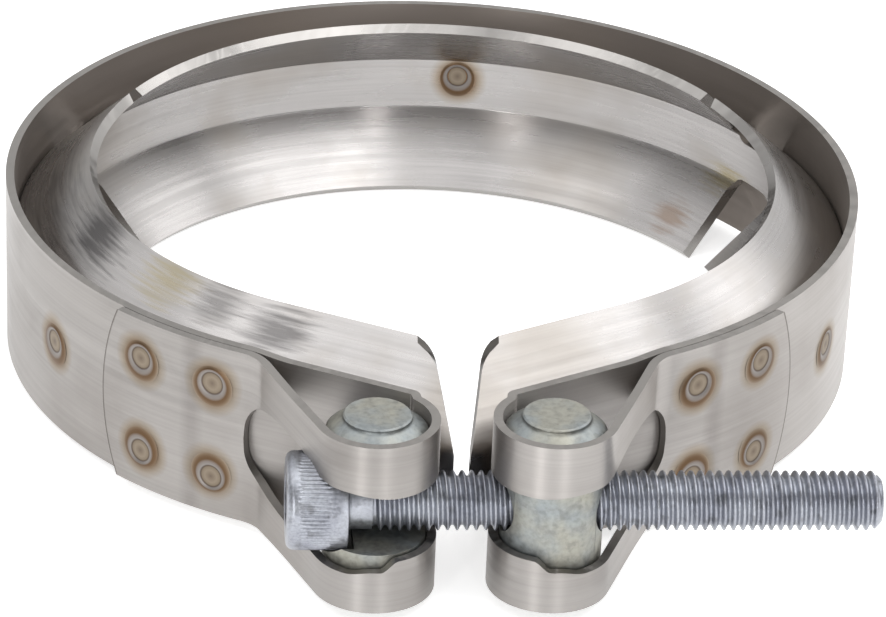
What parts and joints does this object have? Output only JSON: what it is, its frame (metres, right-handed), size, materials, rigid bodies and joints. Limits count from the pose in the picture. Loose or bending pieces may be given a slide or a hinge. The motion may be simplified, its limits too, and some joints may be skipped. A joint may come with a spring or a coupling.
{
  "type": "exhaust clamp",
  "caption": "V-band exhaust clamp: a strap folded into loops round two cross pins, a notched V liner inside it and a socket-head bolt that draws the ends together.",
  "frame": {"origin": "centre of the clamping ring at mid-height of the V groove", "axes": "+Z along the ring axis; the ring opens towards -Y; the bolt lies along X with its head at -X"},
  "size_m": [0.122, 0.141, 0.0282],
  "materials": {
    "band": "satin",
    "v_liner": "satin",
    "left_pin": "zinc plated",
    "right_pin": "zinc plated",
    "clamp_bolt": "matt zinc flake"
  },
  "bodies": {
    "ring": {"band": "band", "v_liner": "v_liner"},
    "left_pin_body": {"left_pin": "left_pin"},
    "right_pin_body": {"right_pin": "right_pin"},
    "bolt_body": {"clamp_bolt": "clamp_bolt"}
  },
  "joints": [
    {"name": "left_pin_turn", "type": "hinge", "parent": "ring", "child": "left_pin_body", "pos_m": [-0.0116, -0.07175, 0], "axis": [0, 0, 1], "range_deg": [-3, 3]},
    {"name": "right_pin_swing", "type": "hinge", "parent": "ring", "child": "right_pin_body", "pos_m": [0.0116, -0.07175, 0], "axis": [0, 0, 1], "range_deg": [0, 30]},
    {"name": "bolt_spin", "type": "hinge", "parent": "right_pin_body", "child": "bolt_body", "pos_m": [0.0116, -0.07175, 0], "axis": [1, 0, 0], "continuous": true}
  ]
}
